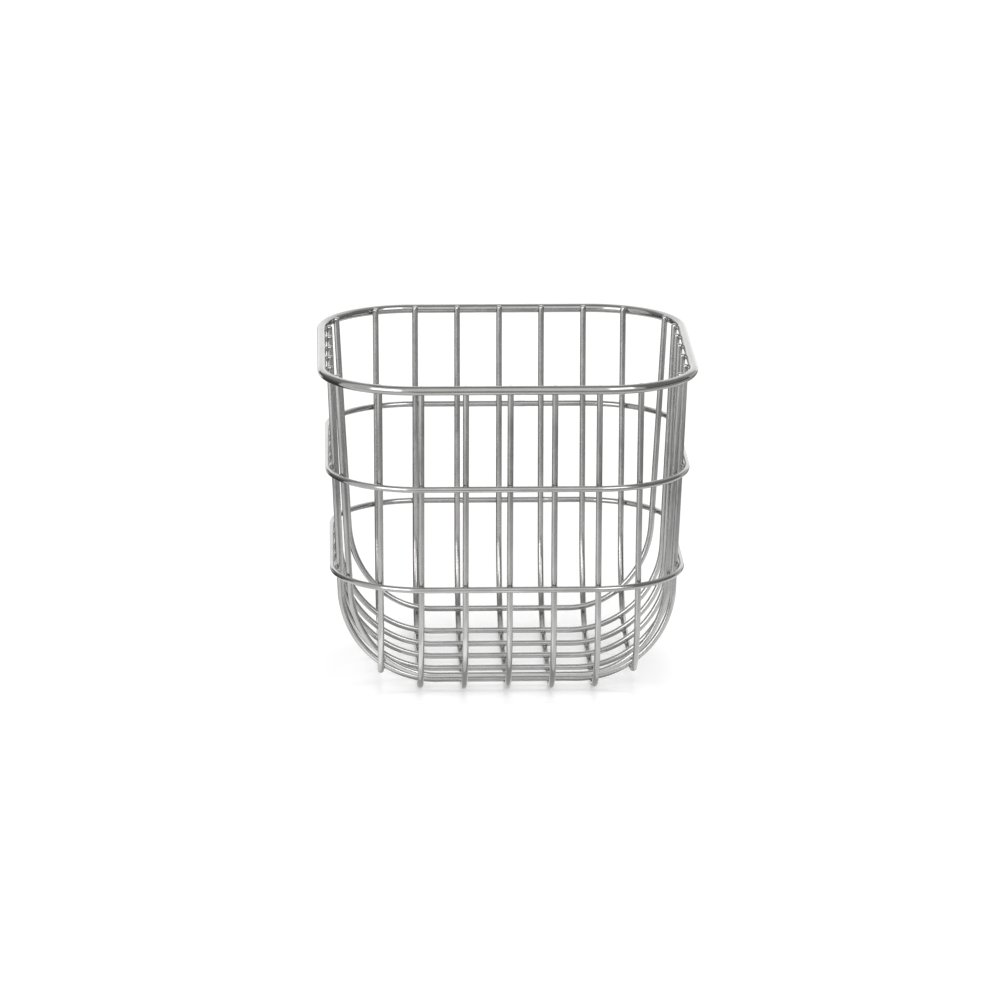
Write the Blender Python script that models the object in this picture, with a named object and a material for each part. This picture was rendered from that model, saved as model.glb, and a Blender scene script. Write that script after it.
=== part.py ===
"""Welded wire storage basket.

A rim of round bar and two thinner hoops hold fourteen U shaped wires. Seven wires run from front
to back and seven from side to side. The front to back wires are the outer layer, which the
basket stands on. The side wires are the inner layer and lie on them.

Units are metres. X is the width, Y the depth with the front at -Y, and Z points up from the
surface that the basket stands on. The origin is under the middle of the basket.
"""

import math

import bpy
import numpy as np

# Gauges of the round stock
WIRE_DIAMETER = 0.004
RIM_DIAMETER = 0.006
HOOP_DIAMETER = 0.004

# Space left between two pieces that are welded to each other
WELD_GAP = 0.0003

# Rim, over the outside of its bar
RIM_WIDTH = 0.251
RIM_DEPTH = 0.248
RIM_CORNER_RADIUS = 0.065
RIM_TOP_HEIGHT = 0.2235

# Hoops: the upper one below the middle of the rim, the lower one above the start of the bends
UPPER_HOOP_DROP = 0.067
LOWER_HOOP_RISE = 0.0191

# Walls and corner wires, which lean inwards on the way down
SIDE_WALL_LEAN = math.radians(2.4)
END_WALL_LEAN = math.radians(1.8)
CORNER_WIRE_LEAN = math.radians(0.3)

# Bends from the walls into the bottom, along the middle of the wire
SIDE_BEND_RADIUS = 0.064
END_BEND_RADIUS = 0.063

# Height of the bends in the outermost wires, which are drawn in less and may be flatter
SIDE_CORNER_BEND_RISE = 0.064
END_CORNER_BEND_RISE = 0.056

# Spread of the wires: the outermost wire from the wall beside it, and from its neighbour
WIRES_EACH_WAY = 7
FRONT_BACK_EDGE_MARGIN = 0.0319
FRONT_BACK_EDGE_SPACING = 0.0273
SIDE_EDGE_MARGIN = 0.0337
SIDE_EDGE_SPACING = 0.0240

# Upper ends of the wires, above the middle of the rim, and the edge taken off them
WIRE_END_RISE = 0.0025
WIRE_END_CHAMFER = 0.0008

# Fineness of the tubes and of the arcs
WIRE_BEVEL_RESOLUTION = 3
RIM_BEVEL_RESOLUTION = 6
BEND_SEGMENTS = 14
CORNER_SEGMENTS = 14
SEAT_SAMPLES = 360
SEAT_ACCURACY = 0.000001

STEEL_COLOUR = (0.56, 0.56, 0.57, 1.0)
STEEL_ROUGHNESS = 0.28

# Sizes that follow from the ones above
WIRE_RADIUS = WIRE_DIAMETER / 2
RIM_RADIUS = RIM_DIAMETER / 2
HOOP_RADIUS = HOOP_DIAMETER / 2
RIM_TO_WIRE = RIM_RADIUS + WELD_GAP + WIRE_RADIUS
HOOP_TO_WIRE = HOOP_RADIUS + WELD_GAP + WIRE_RADIUS
LAYER_DISTANCE = WIRE_DIAMETER + WELD_GAP

# A tube has a flat facet underneath, and the outer layer rests on it
WIRE_SIDES = 4 + 2 * WIRE_BEVEL_RESOLUTION
REST_HEIGHT = WIRE_RADIUS * math.cos(math.pi / WIRE_SIDES)

RIM_HEIGHT = RIM_TOP_HEIGHT - RIM_RADIUS
WIRE_TOP_HEIGHT = RIM_HEIGHT + WIRE_END_RISE
UPPER_HOOP_HEIGHT = RIM_HEIGHT - UPPER_HOOP_DROP
LOWER_HOOP_HEIGHT = REST_HEIGHT + max(SIDE_BEND_RADIUS, END_BEND_RADIUS) + LOWER_HOOP_RISE


def wall_outline(height):
    """Half width, half depth and corner radius of the line through the wires at a height."""
    drop = RIM_HEIGHT - height
    half_width = RIM_WIDTH / 2 - RIM_RADIUS - RIM_TO_WIRE - drop * math.tan(SIDE_WALL_LEAN)
    half_depth = RIM_DEPTH / 2 - RIM_RADIUS - RIM_TO_WIRE - drop * math.tan(END_WALL_LEAN)
    corner_radius = RIM_CORNER_RADIUS - RIM_RADIUS - RIM_TO_WIRE
    return half_width, half_depth, corner_radius


class Layer:
    """One of the two sets of parallel wires. Lengths are taken along the wires and across them."""

    def __init__(self, along_x, bend_radius, corner_rise, edge_margin, edge_spacing, lowest):
        self.along_x = along_x
        self.bend_radius = bend_radius
        self.corner_rise = corner_rise
        outermost = self.halves(RIM_HEIGHT)[1] - edge_margin
        spaces = WIRES_EACH_WAY // 2 - 1
        pitch = (outermost - edge_spacing) / spaces
        self.offsets = [number * pitch for number in range(spaces + 1)] + [outermost]
        lean, foot = self.wall_line(0.0, lowest + bend_radius)
        self.crease = foot - bend_radius * math.sqrt(1 + lean * lean)

    def halves(self, height):
        """Half length along the wires, half width across them, and corner radius at a height."""
        half_width, half_depth, corner_radius = wall_outline(height)
        if self.along_x:
            return half_width, half_depth, corner_radius
        return half_depth, half_width, corner_radius

    def across(self, offset, height):
        """Distance of a wire from the middle. The outermost ones lean in with the corners."""
        if offset < self.offsets[-1]:
            return offset
        return offset - (WIRE_TOP_HEIGHT - height) * math.tan(CORNER_WIRE_LEAN)

    def reach(self, offset, height):
        """Half length of a wire where it stands in the wall at a height."""
        half_along, half_across, corner_radius = self.halves(height)
        past = self.across(offset, height) - (half_across - corner_radius)
        if past <= 0:
            return half_along
        return half_along - corner_radius + math.sqrt(max(corner_radius**2 - past**2, 0))

    def wall_line(self, offset, height):
        """Lean of a wire between the two hoops, and its half length where that line meets a height."""
        upper = self.reach(offset, UPPER_HOOP_HEIGHT)
        lower = self.reach(offset, LOWER_HOOP_HEIGHT)
        lean = (upper - lower) / (UPPER_HOOP_HEIGHT - LOWER_HOOP_HEIGHT)
        return lean, lower - lean * (LOWER_HOOP_HEIGHT - height)

    def half_wire(self, offset, bottom):
        """Middle line of half a wire, from its upper end to the flat: (along, across, height)."""
        rise = self.bend_radius if offset < self.offsets[-1] else self.corner_rise
        lean, foot = self.wall_line(offset, bottom + rise)
        bend_length = math.sqrt((foot - self.crease) ** 2 - (lean * rise) ** 2)
        start = -math.atan(lean * rise / bend_length)
        bend_top = bottom + rise + rise * math.sin(start)
        wall = [WIRE_TOP_HEIGHT, WIRE_TOP_HEIGHT - WIRE_END_CHAMFER]
        wall += [height for height in (UPPER_HOOP_HEIGHT, LOWER_HOOP_HEIGHT) if height > bend_top]
        points = [(self.reach(offset, height), height) for height in wall]
        for step in range(BEND_SEGMENTS + 1):
            angle = start - (math.pi / 2 + start) * step / BEND_SEGMENTS
            along = self.crease + bend_length * math.cos(angle)
            points.append((along, bottom + rise + rise * math.sin(angle)))
        return [(along, self.across(offset, height), height) for along, height in points]

    def place(self, along, across, height):
        """World position of a point given along and across the wires."""
        if self.along_x:
            return along, across, height
        return across, along, height

    def lower_samples(self, offset, bottom):
        """Evenly spaced points on the bend and the bottom of half a wire."""
        line = self.half_wire(offset, bottom)[-BEND_SEGMENTS - 1 :]
        line.append((0.0, line[-1][1], line[-1][2]))
        line = np.array([self.place(*point) for point in line])
        travelled = np.append(0, np.cumsum(np.linalg.norm(np.diff(line, axis=0), axis=1)))
        stations = np.linspace(0, travelled[-1], SEAT_SAMPLES)
        return np.stack([np.interp(stations, travelled, line[:, axis]) for axis in range(3)], axis=1)

    def clears(self, offset, bottom, others):
        """Whether a wire at this height keeps the layer distance from all the others."""
        mine = self.lower_samples(offset, bottom)
        gaps = [np.linalg.norm(mine[:, None] - other[None], axis=2).min() for other in others]
        return min(gaps) >= LAYER_DISTANCE

    def seat(self, offset, start, step, others):
        """Moves a wire up or down from a height until it lies against the others."""
        bottom = start
        while abs(step) > SEAT_ACCURACY:
            if self.clears(offset, bottom + step, others):
                bottom += step
            else:
                step /= 2
        return bottom


def round_bar(name, points, diameter, bevel_resolution, shares=None):
    """Curve object with a round section. Without shares of the radius it is a closed ring."""
    curve = bpy.data.curves.new(name, "CURVE")
    curve.dimensions = "3D"
    curve.bevel_depth = diameter / 2
    curve.bevel_resolution = bevel_resolution
    curve.use_fill_caps = True
    spline = curve.splines.new("POLY")
    spline.points.add(len(points) - 1)
    for number, point in enumerate(points):
        spline.points[number].co = (*point, 1.0)
        spline.points[number].radius = shares[number] if shares else 1.0
    spline.use_cyclic_u = shares is None
    spline.use_smooth = True
    bar = bpy.data.objects.new(name, curve)
    curve.materials.append(steel(name))
    return bar


def steel(name):
    """Satin steel, one material for each piece."""
    material = bpy.data.materials.new(name + "_steel")
    material.use_nodes = True
    shader = material.node_tree.nodes["Principled BSDF"]
    shader.inputs["Base Color"].default_value = STEEL_COLOUR
    shader.inputs["Metallic"].default_value = 1.0
    shader.inputs["Roughness"].default_value = STEEL_ROUGHNESS
    return material


def make_ring(name, height, diameter, bevel_resolution, to_wire):
    """Closed rounded rectangle that runs round the outside of the wires at a height."""
    half_width, half_depth, corner_radius = (size + to_wire for size in wall_outline(height))
    points = []
    for corner, (side_x, side_y) in enumerate(((1, 1), (-1, 1), (-1, -1), (1, -1))):
        for step in range(CORNER_SEGMENTS + 1):
            angle = (corner + step / CORNER_SEGMENTS) * math.pi / 2
            x = side_x * (half_width - corner_radius) + corner_radius * math.cos(angle)
            y = side_y * (half_depth - corner_radius) + corner_radius * math.sin(angle)
            points.append((x, y, 0.0))
    ring = round_bar(name, points, diameter, bevel_resolution)
    ring.location = (0.0, 0.0, height)
    return ring


def make_wire(name, layer, side, offset, bottom):
    """U shaped wire of a layer. Side is -1, 0 or 1: which way it stands from the middle."""
    half = [
        (along, side * (across - offset), height)
        for along, across, height in layer.half_wire(offset, bottom)
    ]
    other_half = [(-along, across, height) for along, across, height in reversed(half)]
    points = [layer.place(*point) for point in half + other_half]
    end_share = 1 - WIRE_END_CHAMFER / WIRE_RADIUS
    shares = [end_share] + [1.0] * (len(points) - 2) + [end_share]
    wire = round_bar(name, points, WIRE_DIAMETER, WIRE_BEVEL_RESOLUTION, shares)
    wire.location = layer.place(0.0, side * offset, 0.0)
    return wire


def make_layer(prefix, layer, bottoms):
    """All wires of a layer, numbered from one side to the other."""
    wires = []
    middle = WIRES_EACH_WAY // 2
    for number in range(WIRES_EACH_WAY):
        place = abs(number - middle)
        side = (number > middle) - (number < middle)
        name = f"{prefix}_{number + 1}"
        wires.append(make_wire(name, layer, side, layer.offsets[place], bottoms[place]))
    return wires


def build():
    for old in list(bpy.data.objects):
        bpy.data.objects.remove(old, do_unlink=True)
    basket = bpy.data.collections.new("storage_basket")
    bpy.context.scene.collection.children.link(basket)

    front_back = Layer(
        along_x=False,
        bend_radius=END_BEND_RADIUS,
        corner_rise=END_CORNER_BEND_RISE,
        edge_margin=FRONT_BACK_EDGE_MARGIN,
        edge_spacing=FRONT_BACK_EDGE_SPACING,
        lowest=REST_HEIGHT,
    )
    side = Layer(
        along_x=True,
        bend_radius=SIDE_BEND_RADIUS,
        corner_rise=SIDE_CORNER_BEND_RISE,
        edge_margin=SIDE_EDGE_MARGIN,
        edge_spacing=SIDE_EDGE_SPACING,
        lowest=REST_HEIGHT + LAYER_DISTANCE,
    )

    # The side wires come down on the middle front to back wire
    middle = [front_back.lower_samples(0.0, REST_HEIGHT)]
    side_bottoms = [
        side.seat(offset, REST_HEIGHT + SIDE_BEND_RADIUS, -WIRE_RADIUS, middle) for offset in side.offsets
    ]
    # The other front to back wires come up under the side wires, as far as those let them
    laid = [
        side.lower_samples(offset, bottom) for offset, bottom in zip(side.offsets, side_bottoms)
    ]
    front_back_bottoms = [REST_HEIGHT]
    for offset in front_back.offsets[1:]:
        front_back_bottoms.append(front_back.seat(offset, REST_HEIGHT, WIRE_RADIUS, laid))

    pieces = [
        make_ring("rim_ring", RIM_HEIGHT, RIM_DIAMETER, RIM_BEVEL_RESOLUTION, RIM_TO_WIRE),
        make_ring("upper_hoop", UPPER_HOOP_HEIGHT, HOOP_DIAMETER, WIRE_BEVEL_RESOLUTION, HOOP_TO_WIRE),
        make_ring("lower_hoop", LOWER_HOOP_HEIGHT, HOOP_DIAMETER, WIRE_BEVEL_RESOLUTION, HOOP_TO_WIRE),
    ]
    pieces += make_layer("front_back_wire", front_back, front_back_bottoms)
    pieces += make_layer("side_wire", side, side_bottoms)
    for piece in pieces:
        basket.objects.link(piece)


build()
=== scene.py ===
# %% [markdown]
# # A welded wire storage basket
#
# The real basket is made of round stainless steel bar. Seven U shaped wires run from front to
# back, seven more lie across them from side to side, two hoops go round the outside and a
# thicker rim closes the top. Every crossing is a resistance weld, and afterwards the whole is
# finished to a satin.
#
# The frame holds a plain solid for each bar. Two skins are possible here: sweep a circle along
# curves drawn by hand, or measure the middle line of each bar from its solid. The second is
# used, because then every fine bar lies exactly where its solid does.

# %% Load the frame and keep its size
import math

import bpy
import numpy as np
from mathutils import Matrix, Vector
from mathutils.kdtree import KDTree


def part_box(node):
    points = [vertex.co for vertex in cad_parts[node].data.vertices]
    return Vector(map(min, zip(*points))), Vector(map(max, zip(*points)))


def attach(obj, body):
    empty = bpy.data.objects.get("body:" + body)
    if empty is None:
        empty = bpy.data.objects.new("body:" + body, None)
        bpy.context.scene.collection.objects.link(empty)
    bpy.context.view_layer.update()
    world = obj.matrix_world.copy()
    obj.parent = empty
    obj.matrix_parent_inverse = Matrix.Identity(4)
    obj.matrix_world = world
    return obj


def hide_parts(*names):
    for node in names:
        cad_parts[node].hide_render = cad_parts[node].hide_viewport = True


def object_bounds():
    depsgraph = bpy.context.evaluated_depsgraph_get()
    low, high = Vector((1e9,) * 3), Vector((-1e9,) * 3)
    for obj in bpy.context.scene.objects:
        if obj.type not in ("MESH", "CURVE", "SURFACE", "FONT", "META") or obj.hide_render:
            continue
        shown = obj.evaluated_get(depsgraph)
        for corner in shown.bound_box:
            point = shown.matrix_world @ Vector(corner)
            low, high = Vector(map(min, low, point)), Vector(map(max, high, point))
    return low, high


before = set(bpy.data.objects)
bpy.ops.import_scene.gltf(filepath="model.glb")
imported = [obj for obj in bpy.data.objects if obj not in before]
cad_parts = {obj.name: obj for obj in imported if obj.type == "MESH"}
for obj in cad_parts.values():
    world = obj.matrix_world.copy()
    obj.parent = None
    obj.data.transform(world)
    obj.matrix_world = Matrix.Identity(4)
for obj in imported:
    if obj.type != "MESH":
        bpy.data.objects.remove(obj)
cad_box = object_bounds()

MM = 0.001
print("solids:", len(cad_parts))
print("size in mm:", [round(side / MM, 1) for side in cad_box[1] - cad_box[0]])

# %% [markdown]
# ## The rings of a tube
#
# Each solid is a tube, and its corners lie in flat rings round its middle line. They could be
# followed along the edges of the mesh, but a solid's faces are cut into triangles, which hides
# the order. The corners of one ring are close neighbours and the next ring is further off, so
# joining near corners finds the rings, whatever the faces are.

# %% Find the rings of a tube
CORNER_DIGITS = 6
RING_LINK = 1.3 * MM


def corners_of(node):
    """The different corners of a solid, in a fixed order."""
    corners = {
        tuple(round(value, CORNER_DIGITS) for value in vertex.co)
        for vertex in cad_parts[node].data.vertices
    }
    return np.array(sorted(corners))


def rings_of(node):
    """The corners of a tube's solid, grouped into the rings round its middle line."""
    corners = corners_of(node)
    tree = KDTree(len(corners))
    for index, corner in enumerate(corners):
        tree.insert(corner, index)
    tree.balance()
    waiting = set(range(len(corners)))
    rings = []
    while waiting:
        front = [waiting.pop()]
        ring = []
        while front:
            index = front.pop()
            ring.append(index)
            near = {found[1] for found in tree.find_range(corners[index], RING_LINK)} & waiting
            waiting -= near
            front += near
        rings.append(corners[ring])
    return rings


print("the rim's solid has", len(rings_of("rim_ring")), "rings")

# %% [markdown]
# ## The middle line of a tube
#
# The middle of each ring is a point of the middle line. A ring counts only where it is whole and
# round. A bar that is hardly taller than it is thick is a closed hoop, and its points are sorted
# by angle round the basket. The others are U wires, sorted by angle round the middle of their
# open top.
#
# A wire's chamfered end has two rings so near each other that they are found as one, with twice
# the corners. Its middle is lifted to the top of the solid, and becomes the end of the line.

# %% Measure every bar
# Both in radii of the bar.
ROUND_ENOUGH = 0.05
HOOP_TALLNESS = 3


def middle_line(node):
    """Points along the middle of a tube, its radius, and whether it is closed."""
    rings = rings_of(node)
    sides = np.bincount([len(ring) for ring in rings]).argmax()
    full = [ring for ring in rings if len(ring) == sides]
    spans = [np.linalg.norm(ring - ring.mean(axis=0), axis=1) for ring in full]
    radius = float(np.median([span.max() for span in spans]))
    round_rings = [ring for ring, span in zip(full, spans) if np.ptp(span) < ROUND_ENOUGH * radius]
    points = np.array([ring.mean(axis=0) for ring in round_rings])
    low, high = (np.array(corner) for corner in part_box(node))
    if high[2] - low[2] < HOOP_TALLNESS * radius:
        return points[np.argsort(np.arctan2(points[:, 1], points[:, 0]))], radius, True
    ends = np.array([ring.mean(axis=0) for ring in rings if len(ring) == 2 * sides])
    ends[:, 2] = high[2]
    points = np.vstack([points, ends])
    sideways = 0 if high[0] - low[0] > high[1] - low[1] else 1
    order = np.argsort(np.arctan2(points[:, sideways], high[2] + MM - points[:, 2]))
    return points[order], radius, False


measured = {node: middle_line(node) for node in sorted(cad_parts)}
for node, (points, radius, closed) in measured.items():
    form = "closed" if closed else "open"
    print(node, len(points), "points, radius", round(radius / MM, 2), "mm,", form)

# %% [markdown]
# ## Where each hoop was joined
#
# A hoop starts as a straight wire. It is bent round, and its two ends are butt welded. The
# photograph shows that weld on the lower hoop as a dark spot at the back, right of the middle.
# The grain could be laid on the hoops without a seam, but a real one has it. So each closed line
# is made to start at its butt weld, and the grain of the wire starts and ends there too.

# %% Start each closed line at its butt weld
BUTT_WELD_X = {"rim_ring": -14 * MM, "upper_hoop": 14 * MM, "lower_hoop": 29 * MM}


def start_at(points, x):
    """The closed line with a new first point on its back run, at the given x."""
    following = np.roll(points, -1, axis=0)
    back = (points[:, 1] > 0) & (points[:, 0] > x) & (following[:, 0] <= x)
    index = int(np.flatnonzero(back)[0])
    share = (points[index, 0] - x) / (points[index, 0] - following[index, 0])
    seam = points[index] + share * (following[index] - points[index])
    return np.vstack([seam, points[index + 1 :], points[: index + 1]])


for node, x in BUTT_WELD_X.items():
    points, radius, closed = measured[node]
    measured[node] = (start_at(points, x), radius, closed)
    print(node, "starts at", [round(value / MM, 1) for value in measured[node][0][0]], "mm")

# %% [markdown]
# ## A smooth line through the measured points
#
# The solids bend in short straight steps, which would show as kinks in polished steel. A
# subdivision surface would round them, but it also pulls a bend inwards. A Hermite curve passes
# through every point, with a slope there that leans towards the longer neighbour, so that a long
# straight run stays straight right up to the bend.
#
# Between two points the curve mixes either point and either slope. Their four shares are cubic
# curves of t, which runs from 0 at the first point to 1 at the second.

# %% Smooth every line
RING_STEP = 2.5 * MM
LEAN_POWER = 3


def smooth_line(points, closed):
    """Points of a smooth curve through the given ones, a short step apart."""
    steps = np.roll(points, -1, axis=0) - points
    weighted = steps * np.linalg.norm(steps, axis=1)[:, None] ** LEAN_POWER
    slopes = weighted + np.roll(weighted, 1, axis=0)
    if not closed:
        slopes[0] = steps[0]
        slopes[-1] = steps[-2]
    slopes /= np.linalg.norm(slopes, axis=1)[:, None]
    line = []
    for start in range(len(points) if closed else len(points) - 1):
        end = (start + 1) % len(points)
        length = np.linalg.norm(steps[start])
        count = max(1, math.ceil(length / RING_STEP))
        for t in np.arange(count) / count:
            line.append(
                points[start] * (2 * t**3 - 3 * t**2 + 1)
                + points[end] * (3 * t**2 - 2 * t**3)
                + slopes[start] * length * (t**3 - 2 * t**2 + t)
                + slopes[end] * length * (t**3 - t**2)
            )
    if not closed:
        line.append(points[-1])
    return np.array(line)


lines = {node: smooth_line(points, closed) for node, (points, radius, closed) in measured.items()}
radii = {node: radius for node, (points, radius, closed) in measured.items()}
print("points on all lines:", sum(len(line) for line in lines.values()))

# %% [markdown]
# ## Which way a line runs
#
# The skin of a bar stands square to its line, and a weld stands square to both of its bars. Both
# need the direction of the line at each of its points. The two neighbours of a point give it. An
# open line has only one neighbour at either end.

# %% Directions along a line
def tangents_of(line, closed):
    """Unit vectors along a line."""
    tangents = np.roll(line, -1, axis=0) - np.roll(line, 1, axis=0)
    if not closed:
        tangents[0] = line[1] - line[0]
        tangents[-1] = line[-1] - line[-2]
    return tangents / np.linalg.norm(tangents, axis=1)[:, None]


tangents = {node: tangents_of(line, node in BUTT_WELD_X) for node, line in lines.items()}
end_lean = math.degrees(math.acos(tangents["side_wire_4"][-1][2]))
print("the middle side wire ends leaning", round(end_lean, 1), "degrees from upright")

# %% [markdown]
# ## Where two bars touch
#
# Two bars are welded where their middle lines come within little more than the sum of their
# radii. The places could be typed in from a drawing, but they would be wrong as soon as a wire
# moves, so they are measured. The nearest points of the drawn lines are up to a step apart from
# the true place. Near the weld both bars are straight, and the closest points of two straight
# lines have a formula, which finds it.

# %% Closest points of two straight lines
def closest_points(point_a, along_a, point_b, along_b):
    """The closest points of two straight lines, each given by a point and a direction."""
    between = point_b - point_a
    lean = along_a @ along_b
    spread = 1 - lean**2
    step_a = (between @ along_a - lean * (between @ along_b)) / spread
    step_b = (lean * (between @ along_a) - between @ along_b) / spread
    return point_a + step_a * along_a, point_b + step_b * along_b


sideways, forwards, upwards = np.eye(3)
print("a test crossing:", *closest_points(sideways, sideways, forwards + upwards, forwards))

# %% [markdown]
# ## The welds of one pair of bars
#
# Along a weld, many pairs of points are near each other, and all of them lead to the same place.
# The first one is kept. Two bars may also meet twice, as a hoop and a U wire do, so a place that
# is well away from the known ones is another weld.

# %% Welds of two bars
WELD_REACH = 0.8 * MM
NEAR_ENOUGH = 2 * MM
SAME_WELD = 8 * MM
# The cosine of 26 degrees: bars that run closer together than this don't cross.
NEARLY_PARALLEL = 0.9


def middle_of(weld):
    """The point halfway between the two bars of a weld."""
    return (weld[0] + weld[1]) / 2


def welds_between(node_a, node_b):
    """Each weld of two bars: a point and direction on either middle line, and both radii."""
    touching = radii[node_a] + radii[node_b] + WELD_REACH
    distances = np.linalg.norm(lines[node_a][:, None] - lines[node_b][None], axis=2)
    welds = []
    for index_a, near_b in enumerate(distances):
        index_b = int(near_b.argmin())
        along_a, along_b = tangents[node_a][index_a], tangents[node_b][index_b]
        if near_b[index_b] > touching + NEAR_ENOUGH or abs(along_a @ along_b) > NEARLY_PARALLEL:
            continue
        point_a, point_b = closest_points(
            lines[node_a][index_a], along_a, lines[node_b][index_b], along_b
        )
        found = (point_a, point_b, along_a, along_b, radii[node_a], radii[node_b])
        apart = [np.linalg.norm(middle_of(found) - middle_of(weld)) for weld in welds]
        gap = np.linalg.norm(point_b - point_a)
        if gap <= touching and all(distance >= SAME_WELD for distance in apart):
            welds.append(found)
    return welds


print("welds of the rim and the middle side wire:", len(welds_between("rim_ring", "side_wire_4")))

# %% [markdown]
# ## All the welds, in seven groups
#
# The welder works through the basket in rounds: first the flat net of the bottom, then each hoop
# and the rim onto one layer of wires and onto the other. The welds are kept in the same groups,
# because one piece for each group is easier to handle than one for each weld. A search tree of
# all their places will tell each corner of a bar how far it is from the nearest weld.

# %% Find every weld
WELD_GROUPS = {
    "bottom_welds": ("front_back_wire", "side_wire"),
    "lower_hoop_front_back_welds": ("lower_hoop", "front_back_wire"),
    "lower_hoop_side_welds": ("lower_hoop", "side_wire"),
    "upper_hoop_front_back_welds": ("upper_hoop", "front_back_wire"),
    "upper_hoop_side_welds": ("upper_hoop", "side_wire"),
    "rim_front_back_welds": ("rim_ring", "front_back_wire"),
    "rim_side_welds": ("rim_ring", "side_wire"),
}


def kind_of(node):
    """The layer that a bar belongs to, from its name."""
    return node.rstrip("0123456789").rstrip("_")


welds = {}
for group, (kind_a, kind_b) in WELD_GROUPS.items():
    welds[group] = [
        weld
        for node_a in lines
        if kind_of(node_a) == kind_a
        for node_b in lines
        if kind_of(node_b) == kind_b
        for weld in welds_between(node_a, node_b)
    ]
    print(group, len(welds[group]))

weld_places = KDTree(sum(len(group) for group in welds.values()))
for index, weld in enumerate(weld for group in welds.values() for weld in group):
    weld_places.insert(middle_of(weld), index)
weld_places.balance()

# %% [markdown]
# ## The ends of a wire
#
# The wires are cut off and tumbled, so the edges of their ends are rounded. A bevel could do
# that, but on a swept bar it is simpler to let the last few rings shrink along a quarter circle.
#
# The real wires were pushed up to the rim by hand, and don't all end at one height. In the
# photograph the back ends stand out over the rim and the front ones hardly do. So each end is
# shifted by half a millimetre or so, depending on how far back it is.

# %% Wire ends
END_ROUNDING = 1.5 * MM
ROUNDING_STEPS = 6
# Places from front to back, in metres, and the shift at each.
END_LIFT_AT = (-0.10, 0.10)
END_LIFT = (-0.55 * MM, 0.6 * MM)


def end_lift(line):
    """How much each end point of a U wire is shifted up. Nothing else of it moves."""
    lift = np.zeros_like(line)
    for end in (0, -1):
        lift[end, 2] = np.interp(line[end, 1], END_LIFT_AT, END_LIFT)
    return lift


def rounded_ends(line, radius):
    """The line and the radius at each of its points, with both ends rounded off."""
    turns = np.linspace(0, math.pi / 2, ROUNDING_STEPS + 1)
    back = END_ROUNDING * (1 - np.sin(turns))
    smaller = radius - END_ROUNDING * (1 - np.cos(turns))
    first = (line[1] - line[0]) / np.linalg.norm(line[1] - line[0])
    last = (line[-1] - line[-2]) / np.linalg.norm(line[-1] - line[-2])
    start = line[0] + back[::-1, None] * first
    end = line[-1] - back[:, None] * last
    middle = np.full(len(line) - 2, radius)
    return np.vstack([start, line[1:-1], end]), np.hstack([smaller[::-1], middle, smaller])


shifts = [end_lift(lines["front_back_wire_4"])[end, 2] / MM for end in (0, -1)]
print("the middle front to back wire's ends shift by", np.round(shifts, 2), "mm")

# %% [markdown]
# ## The butt weld of a hoop
#
# A butt weld squeezes out a bead, which is ground off afterwards. On the hoops some of it was
# left, and the lower one's shows in the photograph. On the rim the grinding is taken to have gone
# a little too deep. A ring of its own could be set over the seam, but its edges would show. So
# the bar's own radius changes a little, in the shape of a bell on either side of the seam.

# %% Radius along a closed bar
BUTT_SWELL = {"rim_ring": -0.05 * MM, "upper_hoop": 0.12 * MM, "lower_hoop": 0.22 * MM}
BUTT_WIDTH = 1.4 * MM


def straight_lengths(line):
    """How far along the line each of its points is."""
    return np.hstack([0, np.cumsum(np.linalg.norm(np.diff(line, axis=0), axis=1))])


def butt_welded_radius(node):
    """The radius of a closed bar at each point of its line."""
    along = straight_lengths(lines[node])
    swell = np.exp(-((along / BUTT_WIDTH) ** 2))
    swell += np.exp(-(((along[-1] - along) / BUTT_WIDTH) ** 2))
    return radii[node] + BUTT_SWELL[node] * swell


print("the lower hoop swells to", round(butt_welded_radius("lower_hoop").max() / MM, 2), "mm")

# %% [markdown]
# ## The round skin
#
# A bar's skin is one ring of corners for each point of its line. Blender could bevel a curve
# instead, which is quicker to write, but a bevelled curve twists where it bends in space and
# keeps no record of where its surface was. Here each ring is set up from a direction that is
# square to the whole bar: up for a hoop, and sideways for a U wire, so nothing twists.
#
# Corners are kept inside the solids' box, so a wire that rests on the table is level with it
# underneath.

# %% Corners and faces of a skin
SIDES = 24
ROUND_THE_BAR = np.arange(SIDES) * 2 * math.pi / SIDES
SQUARE_TO_THE_BAR = {"front_back_wire": (1.0, 0.0, 0.0), "side_wire": (0.0, 1.0, 0.0)}
UPWARDS = (0.0, 0.0, 1.0)


def ring_corners(line, ring_radii, square, closed):
    """The corners of all rings. Square is a direction that the bar never runs in."""
    along = tangents_of(line, closed)
    across = square - along * (along @ square)[:, None]
    across /= np.linalg.norm(across, axis=1)[:, None]
    outward = np.cross(along, across)
    turned = np.cos(ROUND_THE_BAR)[None, :, None] * across[:, None]
    turned = turned + np.sin(ROUND_THE_BAR)[None, :, None] * outward[:, None]
    corners = (line[:, None] + ring_radii[:, None, None] * turned).reshape(-1, 3)
    corners[:, 2] = np.clip(corners[:, 2], cad_box[0][2], cad_box[1][2])
    return corners


def ring_faces(count, closed):
    """The faces between the rings, and a cap on either end of an open bar."""
    faces = []
    for ring in range(count if closed else count - 1):
        here, there = ring * SIDES, (ring + 1) % count * SIDES
        for side in range(SIDES):
            after = (side + 1) % SIDES
            faces.append((here + side, here + after, there + after, there + side))
    if not closed:
        faces.append(tuple(reversed(range(SIDES))))
        faces.append(tuple(range((count - 1) * SIDES, count * SIDES)))
    return faces


print("a bar of 100 rings has", len(ring_faces(100, False)), "faces")

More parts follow.
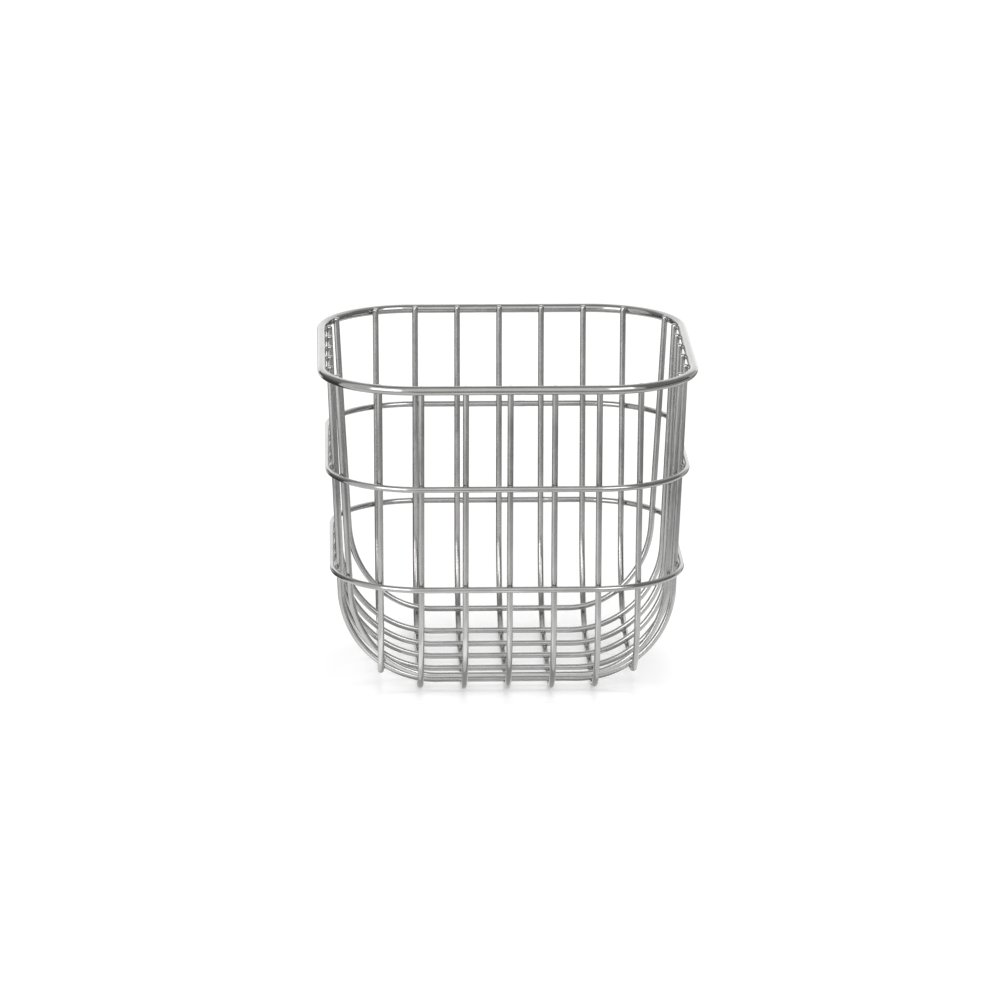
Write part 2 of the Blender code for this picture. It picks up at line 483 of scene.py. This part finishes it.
# %% [markdown]
# ## A mesh that remembers its making
#
# A wire is drawn through a die, so its fine lines run along it, through every bend. Texture
# coordinates of the room would cut across the bends. Instead each corner keeps where it was on
# the straight wire, before bending, in an attribute called straight. A second attribute, heat,
# is one at a weld and nought far from it.

# %% A piece and its two attributes
def new_mesh_piece(name, vertices, faces):
    """A smooth shaded mesh object of its own."""
    mesh = bpy.data.meshes.new(name)
    mesh.from_pydata(vertices.tolist(), [], faces)
    mesh.validate()
    mesh.shade_smooth()
    piece = bpy.data.objects.new(name, mesh)
    bpy.context.scene.collection.objects.link(piece)
    return piece


def remember(piece, straight, heat):
    """Keep both attributes on a piece, one value for each of its corners."""
    attributes = piece.data.attributes
    attributes.new("straight", "FLOAT_VECTOR", "POINT").data.foreach_set("vector", straight.ravel())
    attributes.new("heat", "FLOAT", "POINT").data.foreach_set("value", heat)


print("a bar has", SIDES, "corners in each ring, and each keeps its place on the straight wire")

# %% [markdown]
# ## The bars
#
# Now a bar's line, its radius along the line, its corners and its faces come together. Each bar
# gets a stretch of its own on the straight wire, as if all were cut from one long coil, so no two
# look the same. Heat fades with distance from the nearest weld, in the shape of a bell.

# %% Round bars
HEAT_REACH = 3.5 * MM
# In metres, and longer than any of the wires.
COIL_SHARE = 1.7


def round_bar(name, node, cut_at):
    """The fine skin of one bar, from the coil of wire at the given length."""
    closed = node in BUTT_WELD_X
    if closed:
        line, ring_radii = lines[node], butt_welded_radius(node)
    else:
        line, ring_radii = rounded_ends(lines[node] + end_lift(lines[node]), radii[node])
    square = np.array(SQUARE_TO_THE_BAR.get(kind_of(node), UPWARDS))
    corners = ring_corners(line, ring_radii, square, closed)
    piece = new_mesh_piece(name, corners, ring_faces(len(line), closed))
    straight = np.empty((len(line), SIDES, 3))
    straight[:, :, 0] = radii[node] * np.cos(ROUND_THE_BAR)
    straight[:, :, 1] = radii[node] * np.sin(ROUND_THE_BAR)
    straight[:, :, 2] = straight_lengths(line)[:, None] + cut_at
    nearest = np.array([weld_places.find(corner)[2] for corner in corners])
    if closed:
        nearest = np.minimum(nearest, np.linalg.norm(corners - lines[node][0], axis=1))
    remember(piece, straight, np.exp(-((nearest / HEAT_REACH) ** 2)))
    return piece


bars = {
    node: round_bar(node + "_bar", node, place * COIL_SHARE) for place, node in enumerate(lines)
}
print("corners on all bars:", sum(len(bar.data.vertices) for bar in bars.values()))

# %% [markdown]
# ## One weld
#
# Resistance welding presses two wires together and melts them where they touch. The metal fills
# the gap with a small waist, hollow all round, that flares out onto both wires. A torus or a ball
# at the crossing would look glued on. So each weld is built as a spool: round the line between
# the two bars it touches both round surfaces, and its waist lies between them. No weld is quite
# round, so a few slow waves of chance push its edge in and out.

# %% Weld fillet
WELD_RADIUS = 1.75 * MM
# As shares of the weld's radius, and then of the thinner bar's radius.
WELD_WAIST = 0.72
WELD_UNEVENNESS = 0.05
WELD_WIDEST = 0.95
WELD_SINK = 0.06 * MM
WELD_TURNS = 20
WELD_RISE = 6
WELD_SEED = 5
chance = np.random.default_rng(WELD_SEED)


def weld_fillet(weld):
    """Vertices of one weld: turns round the crossing by steps from one bar to the other."""
    point_a, point_b, along_a, along_b, radius_a, radius_b = weld
    normal = (point_b - point_a) / np.linalg.norm(point_b - point_a)
    side = along_a - normal * (along_a @ normal)
    side /= np.linalg.norm(side)
    cross = np.cross(normal, side)
    waves = chance.uniform(-1, 1, 4) * WELD_UNEVENNESS
    vertices = []
    for turn in range(WELD_TURNS):
        angle = 2 * math.pi * turn / WELD_TURNS
        outward = math.cos(angle) * side + math.sin(angle) * cross
        uneven = 1 + waves[0] * math.cos(angle) + waves[1] * math.sin(angle)
        uneven += waves[2] * math.cos(2 * angle) + waves[3] * math.sin(2 * angle)
        reach = min(WELD_RADIUS * uneven, WELD_WIDEST * min(radius_a, radius_b))
        off_a = reach * np.linalg.norm(np.cross(outward, along_a))
        off_b = reach * np.linalg.norm(np.cross(outward, along_b))
        depth_a = math.sqrt(radius_a**2 - off_a**2) - WELD_SINK
        depth_b = math.sqrt(radius_b**2 - off_b**2) - WELD_SINK
        foot_a = point_a + outward * reach + normal * depth_a
        foot_b = point_b + outward * reach - normal * depth_b
        waist = (foot_a + foot_b) / 2 - outward * reach * (1 - WELD_WAIST)
        for t in np.linspace(0, 1, WELD_RISE + 1):
            vertices.append(foot_a * (1 - t) ** 2 + waist * 2 * t * (1 - t) + foot_b * t**2)
    return vertices


print("each weld has", WELD_TURNS * (WELD_RISE + 1), "corners")

# %% [markdown]
# ## The welds of a group
#
# The spools of one group share a mesh without touching each other. A weld was melted, so it
# keeps nothing of the straight wire. Its grain lies in the room, and its heat is full all over.

# %% Weld pieces
def weld_piece(name, group):
    """All welds of one group as one piece, with the same attributes as the bars."""
    vertices = []
    faces = []
    rows = WELD_RISE + 1
    for weld in group:
        first = len(vertices)
        vertices += weld_fillet(weld)
        for turn in range(WELD_TURNS):
            here, there = first + turn * rows, first + (turn + 1) % WELD_TURNS * rows
            for step in range(WELD_RISE):
                faces.append((here + step, there + step, there + step + 1, here + step + 1))
    vertices = np.array(vertices)
    piece = new_mesh_piece(name, vertices, faces)
    remember(piece, vertices, np.ones(len(vertices)))
    return piece


weld_pieces = {name: weld_piece(name, group) for name, group in welds.items()}
print("faces on all welds:", sum(len(piece.data.polygons) for piece in weld_pieces.values()))

# %% [markdown]
# ## Colours
#
# A shader takes linear light. Its values could be typed in, but they are hard to read. A paint
# chart gives colours as hex values, which are sRGB and spaced as the eye sees them. One function
# turns the second into the first.

# %% Hex colours to linear light
SRGB_TOE = 0.04045
SRGB_TOE_SLOPE = 12.92
SRGB_OFFSET = 0.055
SRGB_POWER = 2.4


def linear(hex_colour):
    """Linear RGBA of an sRGB hex colour such as '#C0C0C0'."""
    channels = []
    for start in (1, 3, 5):
        channel = int(hex_colour[start : start + 2], 16) / 255
        if channel <= SRGB_TOE:
            channels.append(channel / SRGB_TOE_SLOPE)
        else:
            channels.append(((channel + SRGB_OFFSET) / (1 + SRGB_OFFSET)) ** SRGB_POWER)
    return (*channels, 1.0)


WHITE = linear("#FFFFFF")
print("mid grey #808080 is", round(linear("#808080")[0], 3), "in linear light")

# %% [markdown]
# ## Nodes
#
# A material is a net of nodes. It could be wired by hand in the shader editor, but in code it
# reads from top to bottom. One function adds a node, sets its sockets and draws its links, so
# that each finish below reads like a list of what it is made of.

# %% Add a node
def add_node(tree, kind, settings=None, **sockets):
    """New node with its settings. A socket goes by its name, or by i and its place, as in i0."""
    node = tree.nodes.new("ShaderNode" + kind)
    for name, value in (settings or {}).items():
        setattr(node, name, value)
    for name, value in sockets.items():
        socket = node.inputs[int(name[1:]) if name[1:].isdigit() else name.replace("_", " ")]
        if isinstance(value, bpy.types.NodeSocket):
            tree.links.new(value, socket)
        else:
            socket.default_value = value
    return node


def new_material(name):
    """A material whose net of nodes is still empty."""
    material = bpy.data.materials.new(name)
    material.use_nodes = True
    material.node_tree.nodes.clear()
    return material


node_kinds = [name for name in dir(bpy.types) if name.startswith("ShaderNode")]
print("kinds of shader node to choose from:", len(node_kinds))

# %% [markdown]
# ## Die lines and patches
#
# Seen close, the steel isn't even. Fine die lines run along the wire, and the satin is a little
# duller in patches. A picture of real steel could be wrapped on, but it would have to be bent
# round every bar. Noise needs only the place on the straight wire, stretched along it.
#
# A real die line is about 0.05 mm wide, far below one pixel here, so the lines are drawn 0.35 mm
# wide and 14 mm long. The patches are as wide as a fingertip's touch, and stretched along the
# wire, because it was tumbled among others.

# %% Stretched noise
DIE_LINE = 0.35 * MM
DIE_LINE_LENGTH = 14 * MM
DIE_NOISE = {"Scale": 1.0, "Detail": 3.0, "Roughness": 0.6}
SATIN_PATCH = 7 * MM
PATCH_STRETCH = 3
PATCH_NOISE = {"Scale": 1.0, "Detail": 4.0, "Roughness": 0.65}


def stretched_noise(tree, straight, width, length, settings):
    """Noise with spots of one width across the bar and one length along it."""
    scale = (1 / width, 1 / width, 1 / length)
    scaled = add_node(tree, "Mapping", Vector=straight, Scale=scale)
    noise = add_node(tree, "TexNoise", Vector=scaled.outputs["Vector"], **settings)
    return noise.outputs["Fac"]


print("die lines per metre, across and along:", round(1 / DIE_LINE), round(1 / DIE_LINE_LENGTH))

# %% [markdown]
# ## Satin stainless steel
#
# Metal shows nearly nothing but what it mirrors, so it is fully metallic, with the default IOR,
# and its grey is how much of the studio it gives back. One flat grey with one roughness would
# look like plastic. Here the grey follows lines and patches in equal shares, and darkens where
# heat says that a weld is near. The roughness follows the patches only, and the lines are also
# a fine relief. Noise seldom reaches its ends, so its middle part is stretched over the range.

# %% Satin steel
PATCH_SHARE = 0.5
MIXED_NOISE_RANGE = (0.35, 0.65)
PATCH_NOISE_RANGE = (0.3, 0.7)


def satin_steel(name, light, dark, heated, smooth, dull, line_depth):
    """Steel with greys from light to dark, and a roughness from smooth to dull."""
    steel = new_material(name)
    tree = steel.node_tree
    straight = add_node(tree, "Attribute", {"attribute_name": "straight"}).outputs["Vector"]
    heat = add_node(tree, "Attribute", {"attribute_name": "heat"}).outputs["Fac"]
    die_lines = stretched_noise(tree, straight, DIE_LINE, DIE_LINE_LENGTH, DIE_NOISE)
    patch_length = SATIN_PATCH * PATCH_STRETCH
    patches = stretched_noise(tree, straight, SATIN_PATCH, patch_length, PATCH_NOISE)
    both = add_node(
        tree, "Mix", {"data_type": "FLOAT"},
        i0=PATCH_SHARE, i2=die_lines, i3=patches,
    )
    spread = add_node(
        tree, "MapRange", Value=both.outputs[0],
        From_Min=MIXED_NOISE_RANGE[0], From_Max=MIXED_NOISE_RANGE[1],
    )
    grey = add_node(
        tree, "Mix", {"data_type": "RGBA"},
        i0=spread.outputs["Result"], i6=linear(dark), i7=linear(light),
    )
    tinted = add_node(
        tree, "Mix", {"data_type": "RGBA"},
        i0=heat, i6=grey.outputs[2], i7=linear(heated),
    )
    satin = add_node(
        tree, "MapRange", Value=patches,
        From_Min=PATCH_NOISE_RANGE[0], From_Max=PATCH_NOISE_RANGE[1], To_Min=smooth, To_Max=dull,
    )
    bump = add_node(tree, "Bump", Height=die_lines, Distance=line_depth)
    shader = add_node(
        tree, "BsdfPrincipled", Base_Color=tinted.outputs[2], Metallic=1.0,
        Roughness=satin.outputs["Result"], Normal=bump.outputs["Normal"],
    )
    add_node(tree, "OutputMaterial", Surface=shader.outputs["BSDF"])
    return steel


print("the grey spans the noise from", MIXED_NOISE_RANGE[0], "to", MIXED_NOISE_RANGE[1])

# %% [markdown]
# ## Four finishes from one recipe
#
# All of the basket is the same alloy, so one recipe serves, and only its numbers differ. Each
# finish is three greys (light, dark and heated), two roughnesses (smooth and dull) and the depth
# of the die lines. The greys start from polished steel's usual half of the light, and the
# roughnesses from a satin's usual 0.15 to 0.25. Both were then matched to the photograph.

# %% Steel finishes
FINISHES = {
    # Drawn and tumbled: the palest, with a soft gleam in which the lamps have no clear edge.
    "drawn_stainless_wire": ("#B9B9B8", "#A1A1A0", "#838280", 0.15, 0.23, 0.006 * MM),
    # The same wire rubbed a little brighter, as the hoops are: the lamps show as a band.
    "drawn_stainless_hoop_wire": ("#AEAEAD", "#999998", "#888785", 0.12, 0.18, 0.006 * MM),
    # Rolled bar, polished after welding: dark and bright bands with the sharpest edges.
    "polished_stainless_rim_bar": ("#AAAAA9", "#969695", "#858483", 0.09, 0.15, 0.005 * MM),
    # Melted, oxidised and cleaned: dull and a little darker, which draws a line at each crossing.
    "resistance_weld_stainless": ("#9C9B99", "#7E7D7B", "#807F7D", 0.24, 0.36, 0.02 * MM),
}
steels = {name: satin_steel(name, *finish) for name, finish in FINISHES.items()}
for name, finish in FINISHES.items():
    palest = linear(finish[0])[0]
    print(name, "gives back", round(palest, 2), "of the light where it is palest")

# %% [markdown]
# ## Dressing the solids
#
# Each fine bar takes the place of its solid and rides on the basket's one body. The welds are
# extra pieces: they have no solid of their own, so they replace nothing.

# %% Put the bars and welds on the body
BAR_FINISHES = {
    "rim_ring": ("rim_steel", "polished_stainless_rim_bar"),
    "upper_hoop": ("hoop_steel", "drawn_stainless_hoop_wire"),
    "lower_hoop": ("hoop_steel", "drawn_stainless_hoop_wire"),
}
WIRE_FINISH = ("wire_steel", "drawn_stainless_wire")

for node, piece in bars.items():
    slot, finish = BAR_FINISHES.get(node, WIRE_FINISH)
    piece.data.materials.append(steels[finish])
    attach(piece, "root")
    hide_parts(node)

for name, piece in weld_pieces.items():
    piece.data.materials.append(steels["resistance_weld_stainless"])
    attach(piece, "root")
print("pieces dressed:", len(bars) + len(weld_pieces))

# %% [markdown]
# ## The camera
#
# The photograph was taken with a long lens from a little above. A camera could be placed by eye
# and aimed with a constraint, but a few pixels matter among so many thin wires. So its place was
# found by fitting the wires' crossings, and it is set here from its three angles, its distance
# and the point it looks at.

# %% Camera
CAMERA_YAW = math.radians(-1.923)
CAMERA_PITCH = math.radians(14.754)
CAMERA_ROLL = math.radians(-0.142)
CAMERA_DISTANCE = 3.630
CAMERA_TARGET = Vector((-0.00292, 0.0, 0.11537))
LENS = 193.85
SENSOR_WIDTH = 36.0

forward = Vector((
    -math.sin(CAMERA_YAW) * math.cos(CAMERA_PITCH),
    math.cos(CAMERA_YAW) * math.cos(CAMERA_PITCH),
    -math.sin(CAMERA_PITCH),
))
level = forward.cross(Vector((0, 0, 1))).normalized()
upright = level.cross(forward)
right = math.cos(CAMERA_ROLL) * level - math.sin(CAMERA_ROLL) * upright
up = math.sin(CAMERA_ROLL) * level + math.cos(CAMERA_ROLL) * upright
camera_data = bpy.data.cameras.new("camera")
camera_data.lens = LENS
camera_data.sensor_width = SENSOR_WIDTH
camera = bpy.data.objects.new("camera", camera_data)
bpy.context.scene.collection.objects.link(camera)
turn = Matrix((right, up, -forward)).transposed().to_4x4()
camera.matrix_world = Matrix.Translation(CAMERA_TARGET - forward * CAMERA_DISTANCE) @ turn
bpy.context.scene.camera = camera
print("camera at", [round(value, 3) for value in camera.matrix_world.translation])

# %% [markdown]
# ## White air
#
# The basket was photographed in a white tent. More light would turn the background white, but it
# would bleach the steel too. So the world is plain white for the camera and for mirror rays, and
# lights everything else at a lower, even level.

# %% World
WORLD_LIGHT = 0.75


def seen_directly(tree):
    """One for camera, mirror and glass rays, nought for the rays that light other things."""
    path = add_node(tree, "LightPath")
    camera_or_mirror = add_node(
        tree, "Math", {"operation": "MAXIMUM"},
        i0=path.outputs["Is Camera Ray"], i1=path.outputs["Is Glossy Ray"],
    )
    any_of_three = add_node(
        tree, "Math", {"operation": "MAXIMUM"},
        i0=camera_or_mirror.outputs[0], i1=path.outputs["Is Transmission Ray"],
    )
    return any_of_three.outputs[0]


bpy.context.scene.view_settings.view_transform = "Standard"
world = bpy.data.worlds.new("white_tent")
bpy.context.scene.world = world
world.use_nodes = True
tree = world.node_tree
tree.nodes.clear()
strength = add_node(tree, "MapRange", Value=seen_directly(tree), To_Min=WORLD_LIGHT, To_Max=1.0)
glow = add_node(tree, "Background", Color=WHITE, Strength=strength.outputs["Result"])
add_node(tree, "OutputWorld", Surface=glow.outputs["Background"])
print("the world lights the basket at", WORLD_LIGHT, "and looks like 1")

# %% [markdown]
# ## White paper
#
# The basket stands on white paper. Plain white paper in this light is a pale grey, and its far
# end would show as a grey horizon in the steel. So the paper glows a little, again for camera
# and mirror rays only, and a little more the further it is from the basket. Near the basket the
# glow is weak enough for the soft shadow to show.

# %% Floor
FLOOR_HALF = 8.0
PAPER = "#E2E2E2"
GLOW_DISTANCES = (0.35, 1.4)
PAPER_GLOW = (0.28, 0.39)

paper = new_material("white_paper")
tree = paper.node_tree
place = add_node(tree, "TexCoord")
distance = add_node(tree, "VectorMath", {"operation": "LENGTH"}, i0=place.outputs["Object"])
glow_there = add_node(
    tree, "MapRange", Value=distance.outputs["Value"],
    From_Min=GLOW_DISTANCES[0], From_Max=GLOW_DISTANCES[1],
    To_Min=PAPER_GLOW[0], To_Max=PAPER_GLOW[1],
)
glow = add_node(
    tree, "Math", {"operation": "MULTIPLY"},
    i0=seen_directly(tree), i1=glow_there.outputs["Result"],
)
matt = add_node(tree, "BsdfDiffuse", Color=linear(PAPER))
shine = add_node(tree, "Emission", Color=WHITE, Strength=glow.outputs["Value"])
both = add_node(tree, "AddShader", i0=matt.outputs["BSDF"], i1=shine.outputs["Emission"])
add_node(tree, "OutputMaterial", Surface=both.outputs["Shader"])

floor_corners = [(-1, -1, 0), (1, -1, 0), (1, 1, 0), (-1, 1, 0)]
floor = new_mesh_piece("floor", np.array(floor_corners) * FLOOR_HALF, [(0, 1, 2, 3)])
floor.data.materials.append(paper)
print("the paper is", 2 * FLOOR_HALF, "m wide")

# %% [markdown]
# ## Softboxes
#
# Polished wire has no look of its own: it shows the studio. In the photograph the steel mirrors
# two large bright boxes, one low on the left and one higher on the right. A picture wrapped round
# the scene could hold both, but area lamps can be moved and sized one at a time. A lamp's power is
# its brightness times its area times pi. Directions are given as seen from the basket: azimuth 0
# is the camera's side, 90 the right, and elevation 90 straight up.

# %% Area lamps
STUDIO_MIDDLE = Vector((0, 0, 0.11))
LAMP_DISTANCE = 2.2
# Azimuth and elevation in degrees, width and height in metres, and how bright it looks, where
# plain white is 1.
SOFTBOXES = {
    "softbox_left": (-36, 18, 1.4, 1.6, 3.2),
    "softbox_right": (24, 36, 1.15, 1.35, 2.8),
}


def direction(azimuth, elevation):
    """Unit vector towards a place in the studio, from its two angles in degrees."""
    turn, rise = math.radians(azimuth), math.radians(elevation)
    flat = math.cos(rise)
    return Vector((math.sin(turn) * flat, -math.cos(turn) * flat, math.sin(rise)))


def add_lamp(name, kind, towards):
    """A lamp that shines on the basket from the given direction."""
    data = bpy.data.lights.new(name, kind)
    lamp = bpy.data.objects.new(name, data)
    bpy.context.scene.collection.objects.link(lamp)
    lamp.rotation_mode = "QUATERNION"
    lamp.rotation_quaternion = towards.to_track_quat("Z", "Y")
    return lamp


for name, (azimuth, elevation, width, height, brightness) in SOFTBOXES.items():
    softbox = add_lamp(name, "AREA", direction(azimuth, elevation))
    softbox.location = STUDIO_MIDDLE + direction(azimuth, elevation) * LAMP_DISTANCE
    softbox.data.shape = "RECTANGLE"
    softbox.data.size = width
    softbox.data.size_y = height
    softbox.data.energy = brightness * math.pi * width * height
    softbox.visible_camera = False
    print(name, round(softbox.data.energy, 1), "W")

# %% [markdown]
# ## Back light
#
# The floor shadows in the photograph are faint, but their lines are crisp, just in front of each
# wire. That takes a third, smaller light, high and behind. It is a sun, so that it lights all of
# the paper alike, and mirror rays don't see it, because the steel shows no small hot spot.

# %% Sun behind
BACK_LIGHT_STRENGTH = 0.4
BACK_LIGHT_ANGLE = math.radians(14)
BACK_LIGHT_FROM = direction(172, 60)

back_light = add_lamp("back_light", "SUN", BACK_LIGHT_FROM)
back_light.data.energy = BACK_LIGHT_STRENGTH
back_light.data.angle = BACK_LIGHT_ANGLE
back_light.visible_glossy = False
print("back light from", [round(value, 2) for value in BACK_LIGHT_FROM])

# %% [markdown]
# ## Painted reflections for the steel to mirror
#
# Between the boxes the steel shows darker and brighter fields: a dark wall on the right, a dark
# gap overhead, and a table that is pale and dark in turn as it goes further off. A photographer
# makes such fields with black, grey and white card, to give shiny things an edge. Here they are
# painted reflections: each card is a glowing sheet that only mirror rays see. It lights nothing,
# casts no shadow and stays out of the picture, so the floor and its shadow are the same with and
# without it. Its brightness is the painted light or shade that the steel mirrors there, where
# plain white is 1.

# %% A painted reflection card
def grid_faces(rows, columns):
    """The faces of a sheet with so many rows and columns of points."""
    faces = []
    for row in range(rows - 1):
        for column in range(columns - 1):
            here, above = row * columns + column, (row + 1) * columns + column
            faces.append((here, here + 1, above + 1, above))
    return faces


def painted_reflection_card(name, grid, brightness):
    """A glowing card through a grid of points that only mirror rays see: a painted reflection."""
    piece = new_mesh_piece(name, grid.reshape(-1, 3), grid_faces(*grid.shape[:2]))
    material = new_material(name)
    glow = add_node(material.node_tree, "Emission", Color=WHITE, Strength=brightness)
    add_node(material.node_tree, "OutputMaterial", Surface=glow.outputs["Emission"])
    piece.data.materials.append(material)
    piece.visible_camera = False
    piece.visible_diffuse = False
    piece.visible_shadow = False


print("a card of 3 by 3 points has", len(grid_faces(3, 3)), "faces")

# %% [markdown]
# ## The painted reflections that hang round the basket
#
# A flat card would be nearer in its middle than at its edges. These are bent round the basket,
# so that two azimuths and two elevations are all that one needs. They stand at the sides as
# painted shade, where the steel is darkest, and one behind and one in front are brighter than
# paper: a painted reflection of the lit wall of the tent, which the real steel shows there.

# %% Hanging cards
CARD_STEP = 8
HANGING_DISTANCE = 1.2
# Azimuths and elevations in degrees, and brightness.
HANGING_PAINTED_REFLECTIONS = {
    "card_right_low": ((50, 118), (-2, 12), 0.15),
    "card_right_high": ((50, 118), (12, 60), 0.35),
    "card_back_right": ((118, 142), (8, 42), 0.62),
    "card_back_left": ((-140, -92), (18, 66), 0.42),
    "card_left_low": ((-150, -92), (-2, 18), 0.20),
    "wall_in_front": ((-20, 12), (14, 54), 1.3),
    "backdrop": ((145, 215), (0, 45), 1.35),
}


def steps_between(ends):
    """Values from one end to the other, a card step or less apart."""
    return np.linspace(*ends, max(1, math.ceil((ends[1] - ends[0]) / CARD_STEP)) + 1)


for name, (azimuths, elevations, brightness) in HANGING_PAINTED_REFLECTIONS.items():
    grid = [
        [
            STUDIO_MIDDLE + direction(azimuth, elevation) * HANGING_DISTANCE
            for azimuth in steps_between(azimuths)
        ]
        for elevation in steps_between(elevations)
    ]
    painted_reflection_card(name, np.array(grid), brightness)
print("hanging cards:", len(HANGING_PAINTED_REFLECTIONS))

# %% [markdown]
# ## The painted reflections that lie on the paper
#
# The camera looks down, so an upright wire mirrors the floor and not the walls: from high on the
# wire a far place, and from low on it a near one. So these cards paint the floor's light and
# shade into the steel's reflections. They are parts of rings round the basket, one outside the
# other, in pairs that are darker on the right than on the left, as the steel is. The one nearest
# to the feet is painted shade: the shade under the basket, as the steel mirrors it.

# %% Floor cards
ABOVE_PAPER = 0.3 * MM
# Azimuths in degrees, distances from the middle in metres, and brightness.
FLOOR_PAINTED_REFLECTIONS = {
    # Painted shade: the basket's shadow under its feet, seen only in the steel's reflections.
    "foot_shade": ((-180, 180), (0.072, 0.102), 0.52),
    "paper_left": ((-90, -10), (0.165, 0.42), 1.22),
    "paper_right": ((-10, 100), (0.30, 0.42), 0.85),
    "paper_front": ((-60, 4), (0.118, 0.165), 1.65),
    "paper_middle": ((-10, 4), (0.165, 0.30), 1.45),
    "paper_far_left": ((-150, -95), (0.20, 0.60), 0.10),
    "table_far_left": ((-135, -95), (0.60, 3.0), 0.10),
    "table_far_right": ((128, 150), (0.22, 3.0), 0.35),
    "table_left": ((-90, -10), (0.42, 0.58), 1.05),
    "table_right": ((-10, 128), (0.42, 0.58), 0.66),
    "table_dark_left": ((-90, -10), (0.58, 0.78), 0.52),
    "table_dark_right": ((-10, 128), (0.58, 0.78), 0.22),
    "table_pale_left": ((-90, -10), (0.78, 1.06), 1.6),
    "table_pale_right": ((-10, 128), (0.78, 1.06), 0.95),
    "table_end_left": ((-75, -10), (1.06, 3.0), 0.80),
    "table_end_right": ((-10, 128), (1.06, 3.0), 0.32),
    "table_behind_left": ((-180, -166), (0.45, 2.4), 0.10),
    "table_behind_right": ((150, 180), (0.45, 1.2), 0.40),
}

for name, (azimuths, distances, brightness) in FLOOR_PAINTED_REFLECTIONS.items():
    grid = [
        [
            direction(azimuth, 0) * distance + Vector((0, 0, ABOVE_PAPER))
            for azimuth in steps_between(azimuths)
        ]
        for distance in distances
    ]
    painted_reflection_card(name, np.array(grid), brightness)
print("floor cards:", len(FLOOR_PAINTED_REFLECTIONS))

# %% [markdown]
# ## The painted reflections overhead
#
# The rim's upper side and the hoops' show a dark band, which is the gap between the lamps, and
# these cards paint it into their reflections as painted shade. It is flat and low, so that the
# rim's front and back runs see different parts of it: the front part is the darker one.

# %% Ceiling cards
CEILING_HEIGHT = 0.9
CEILING_WIDTH = (-0.5, 0.5)
# From front to back in metres, and brightness.
CEILING_PAINTED_REFLECTIONS = {
    "card_overhead_front": ((-0.24, 0.10), 0.37),
    "card_overhead_back": ((0.10, 0.48), 0.62),
}

for name, (depth, brightness) in CEILING_PAINTED_REFLECTIONS.items():
    grid = [[(x, y, CEILING_HEIGHT) for x in CEILING_WIDTH] for y in depth]
    painted_reflection_card(name, np.array(grid), brightness)
print("ceiling cards:", len(CEILING_PAINTED_REFLECTIONS))

# %% [markdown]
# Nothing that was added may make the basket larger.
